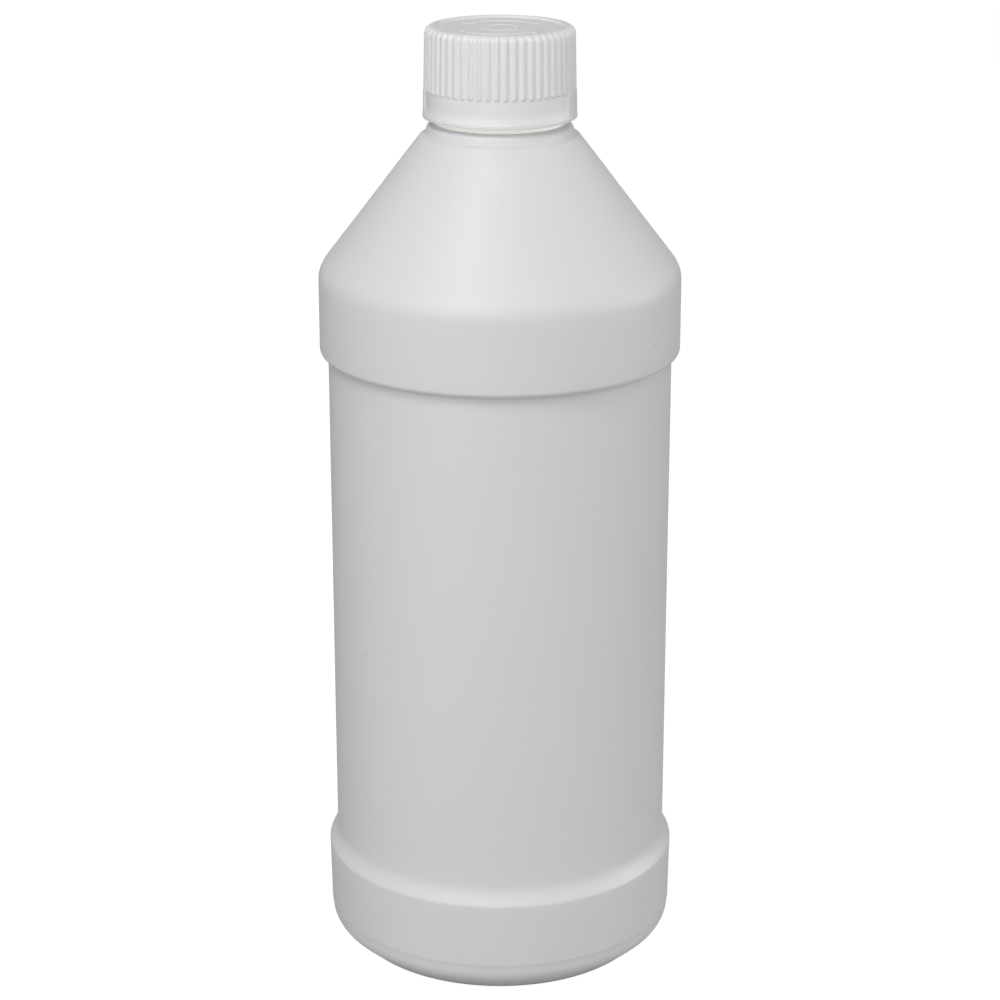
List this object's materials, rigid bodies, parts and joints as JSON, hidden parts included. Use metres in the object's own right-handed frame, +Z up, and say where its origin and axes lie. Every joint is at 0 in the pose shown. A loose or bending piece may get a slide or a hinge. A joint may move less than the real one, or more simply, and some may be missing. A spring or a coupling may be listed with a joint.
{
  "type": "round plastic bottle",
  "caption": "Round white blow-moulded bottle with a conical shoulder and recessed body, closed by a fluted push-and-turn screw cap with its liner.",
  "frame": {"origin": "on the bottle's axis, at the level of the standing ring", "axes": "+Z up along the bottle's axis; the picture looks along +Y, and the grip pads of the cap face nearly +X and -X"},
  "size_m": [0.086, 0.086, 0.2281],
  "materials": {
    "bottle_plastic": "satin natural-white polyethylene",
    "cap_plastic": "semi-gloss white polypropylene",
    "inner_cap_plastic": "natural cream polypropylene",
    "liner_foam": "soft white sealing foam"
  },
  "bodies": {
    "bottle": {"bottle": "bottle_plastic"},
    "liner": {"cap_liner": "liner_foam"},
    "inner_cap": {"inner_cap": "inner_cap_plastic"},
    "outer_cap": {"outer_cap": "cap_plastic"}
  },
  "joints": [
    {"name": "cap_lift", "type": "slide", "parent": "bottle", "child": "liner", "axis": [0, 0, 1], "range_m": [0, 0.01694]},
    {"name": "cap_turn", "type": "hinge", "parent": "liner", "child": "inner_cap", "pos_m": [0, 0, 0.2128], "axis": [0, 0, 1], "range_deg": [0, 1440]},
    {"name": "cap_push", "type": "slide", "parent": "inner_cap", "child": "outer_cap", "axis": [0, 0, 1], "range_m": [-0.0014, 0], "stiffness_N_per_m": 3000}
  ],
  "couplings": [
    {"joint": "cap_lift", "follows": "cap_turn", "m_per_rad": 0.00067376}
  ]
}
